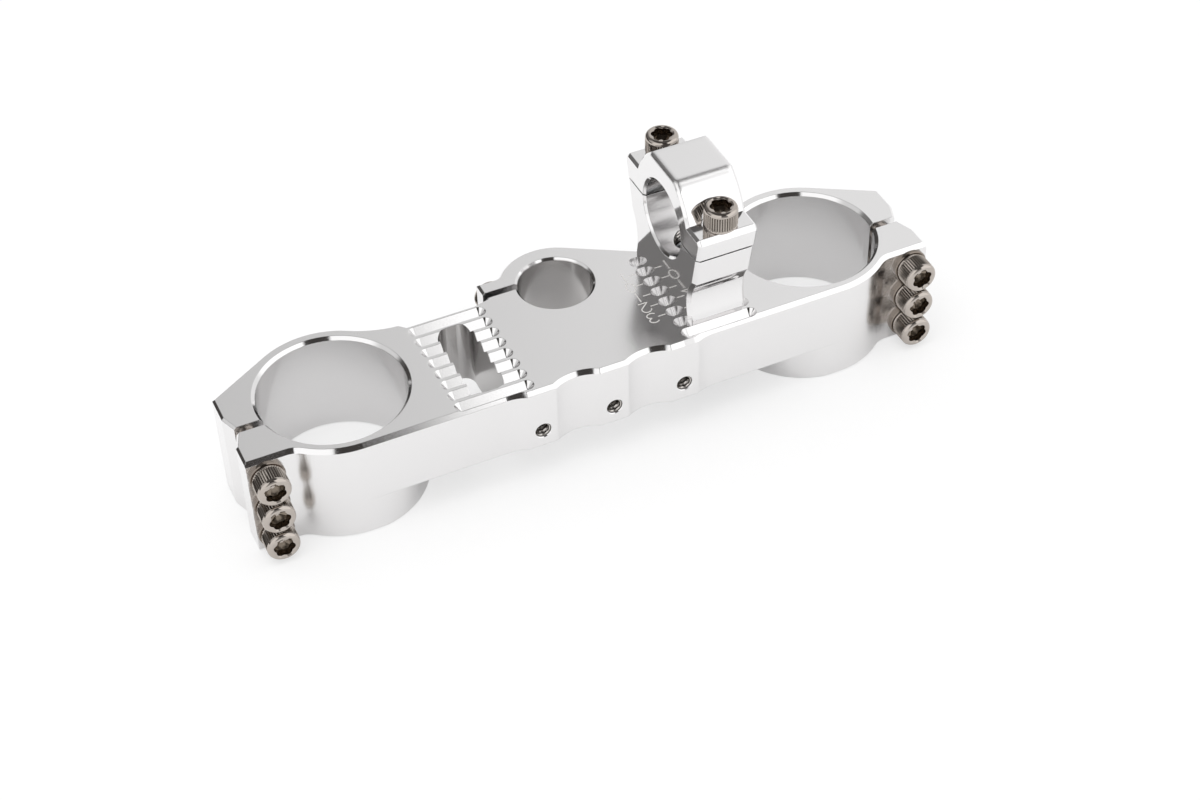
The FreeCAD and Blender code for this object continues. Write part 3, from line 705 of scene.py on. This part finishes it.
# %% White paper
paper = bpy.data.materials.new("white paper")
paper.use_nodes = True
shader = paper.node_tree.nodes["Principled BSDF"]
shader.inputs["Base Color"].default_value = colour("#fbfbfb")
shader.inputs["Roughness"].default_value = 0.9
shader.inputs["Specular IOR Level"].default_value = 0.0
tree = paper.node_tree
paths = add(tree, "ShaderNodeLightPath")
mirrored_share = add(tree, "ShaderNodeMath", {0: paths.outputs["Is Glossy Ray"], 1: 0.1},
                     operation="MULTIPLY")
share = add(tree, "ShaderNodeMath", {0: paths.outputs["Is Camera Ray"], 1: 0.6,
                                     2: mirrored_share.outputs[0]}, operation="MULTIPLY_ADD")
plain_white = add(tree, "ShaderNodeEmission", {"Color": colour("#ffffff"), "Strength": 1.0})
both = add(tree, "ShaderNodeMixShader", {0: share.outputs[0], 1: shader.outputs[0],
                                         2: plain_white.outputs[0]})
tree.links.new(both.outputs[0], tree.nodes["Material Output"].inputs["Surface"])
print("paper:", paper.name, "with", len(tree.nodes), "nodes")

# %% [markdown]
# The sheet is one flat square that runs back out of sight, so the object keeps
# its soft shadow and nothing else. It lies a hair below the rings' lower ends.

# %% The floor
half = 6.0  # metres
ground = clamp_low[2] - 0.2 * mm
corners = [(-half, -half, ground), (half, -half, ground), (half, half, ground), (-half, half, ground)]
mesh = bpy.data.meshes.new("studio_floor")
mesh.from_pydata(corners, [], [(0, 1, 2, 3)])
mesh.materials.append(paper)
floor = bpy.data.objects.new("studio_floor", mesh)
bpy.context.collection.objects.link(floor)
print("floor at z", round(ground / mm, 2), "mm")

# %% [markdown]
# Metal shows the room more than its own colour, so the room decides which
# chamfers are black and which are white. This one has a bright wall behind to
# the right, soft lights in front to the right and to the left with a dark gap
# between them above the camera, and darkness behind to the left and overhead.
# It is drawn by direction: each ramp follows the height or the side of a ray
# and says how bright one part of the room is.

# %% The room that metal mirrors
world = bpy.data.worlds.new("soft studio")
bpy.context.scene.world = world
world.use_nodes = True
tree = world.node_tree
tree.nodes.clear()
toward = add(tree, "ShaderNodeTexCoord").outputs["Generated"]
split = add(tree, "ShaderNodeSeparateXYZ", {0: toward})
depth = add(tree, "ShaderNodeMath", {0: split.outputs["Y"]}, operation="ABSOLUTE")
side = add(tree, "ShaderNodeMath", {0: split.outputs["X"], 1: depth.outputs[0]}, operation="ARCTAN2")

# each row: a brightness, the direction it follows, where it starts and ends, and its values there
ramps = {}
for name, follows, start, end, first, last in (
        ("dark corner", split.outputs["Z"], 0.2, 0.45, 0.04, 0.2),
        ("bright wall", side.outputs[0], 0.17, 0.6, 0.66, 0.92),
        ("dark to bright", side.outputs[0], -0.08, 0.17, 0.0, 1.0),
        ("far left", side.outputs[0], -1.05, -0.86, 1.0, 0.0),
        ("far left is high", split.outputs["Z"], 0.15, 0.4, 0.0, 1.0),
        ("front right", side.outputs[0], 0.272, 0.365, 0.03, 1.35),
        ("front left", side.outputs[0], -0.44, -0.34, 1.2, 0.0),
        ("gap is dark above", split.outputs["Z"], 0.5, 0.62, 0.4, 0.03),
        ("front to rear", split.outputs["Y"], -0.12, 0.12, 0.0, 1.0),
        ("overhead", split.outputs["Z"], 0.8, 0.88, 0.0, 1.0)):
    ramps[name] = add(tree, "ShaderNodeMapRange", {"Value": follows, "From Min": start, "From Max": end,
                                                   "To Min": first, "To Max": last},
                      interpolation_type="SMOOTHSTEP").outputs["Result"]
print("directions with a brightness of their own:", len(ramps))

# %% [markdown]
# The parts are joined from rear to front and from the horizon up to the dark
# overhead. Where the room is dark it is a warm brown, as in a room of wood.

# %% The parts of the room joined
rear_wall = add(tree, "ShaderNodeMix", {"Factor": ramps["dark to bright"], "A": ramps["dark corner"],
                                        "B": ramps["bright wall"]})
far_left = add(tree, "ShaderNodeMath", {0: ramps["far left"], 1: ramps["far left is high"]},
               operation="MULTIPLY")
behind = add(tree, "ShaderNodeMix", {"Factor": far_left.outputs[0], "A": rear_wall.outputs[0], "B": 0.75})
lights = add(tree, "ShaderNodeMath", {0: ramps["front right"], 1: ramps["front left"]}, operation="MAXIMUM")
before = add(tree, "ShaderNodeMath", {0: lights.outputs[0], 1: ramps["gap is dark above"]},
             operation="MAXIMUM")
around = add(tree, "ShaderNodeMix", {"Factor": ramps["front to rear"], "A": before.outputs[0],
                                     "B": behind.outputs[0]})
level = add(tree, "ShaderNodeMix", {"Factor": ramps["overhead"], "A": around.outputs[0], "B": 0.1})
tint = add(tree, "ShaderNodeMix", {"Factor": level.outputs[0], "A": colour("#2a2522"),
                                   "B": colour("#ffffff")}, data_type="RGBA")
print("nodes that draw the room:", len(tree.nodes))

# %% [markdown]
# The renderer asks the world for light along every ray, and Light Path tells
# what kind of ray is asking. Mirror rays that haven't touched paper get the
# drawn room, the camera gets plain white, and all other light is even white.

# %% Which rays see which room
paths = add(tree, "ShaderNodeLightPath")
above_white = add(tree, "ShaderNodeMath", {0: level.outputs[0], 1: 1.0}, operation="MAXIMUM")
mirrored = add(tree, "ShaderNodeBackground", {"Color": tint.outputs[2], "Strength": above_white.outputs[0]})
lit = add(tree, "ShaderNodeBackground", {"Color": colour("#ffffff"), "Strength": 0.9})
seen = add(tree, "ShaderNodeBackground", {"Color": colour("#ffffff"), "Strength": 1.0})
before_paper = add(tree, "ShaderNodeMath", {0: paths.outputs["Diffuse Depth"], 1: 0.5},
                   operation="LESS_THAN")
mirror_ray = add(tree, "ShaderNodeMath", {0: paths.outputs["Is Glossy Ray"], 1: before_paper.outputs[0]},
                 operation="MULTIPLY")
indirect = add(tree, "ShaderNodeMixShader", {0: mirror_ray.outputs[0], 1: lit.outputs[0],
                                             2: mirrored.outputs[0]})
room = add(tree, "ShaderNodeMixShader", {0: paths.outputs["Is Camera Ray"], 1: indirect.outputs[0],
                                         2: seen.outputs[0]})
add(tree, "ShaderNodeOutputWorld", {"Surface": room.outputs[0]})

# %% [markdown]
# One large round lamp, high and a little to the left, gives the shadow its
# direction and shines down into the fork bores. Metal doesn't mirror it,
# because the room above already holds its lights.

# %% The soft lamp
lamp = bpy.data.lights.new("soft box", "AREA")
lamp.shape = "DISK"
lamp.size = 1.0
lamp.energy = 5.0
lamp_stand = bpy.data.objects.new("soft box", lamp)
lamp_stand.location = (-0.35, -0.25, 1.3)
lamp_stand.rotation_euler = (math.radians(11), math.radians(-15), 0)
lamp_stand.visible_glossy = False
bpy.context.collection.objects.link(lamp_stand)
print("lamp:", lamp.energy, "W,", lamp.size, "m wide")

# %% [markdown]
# The camera stands to the front left, a long arm's length away and well above
# the plate, with a lens of medium length. Its place and tilt come from the
# photograph's perspective, and a small shift centres the picture as it was cut.

# %% The camera
camera = bpy.data.cameras.new("camera")
camera.lens = 67.7
camera.shift_x = 0.0121
camera.shift_y = -0.0166
camera.clip_start = 0.01
viewer = bpy.data.objects.new("camera", camera)
viewer.location = (-0.2433, -0.5880, 0.5630)
viewer.rotation_euler = [math.radians(a) for a in (47.35, 1.4256, -24.689)]
bpy.context.collection.objects.link(viewer)
bpy.context.scene.camera = viewer
bpy.context.scene.view_settings.view_transform = "Standard"
print("camera stands", round(viewer.location.length, 3), "m away")
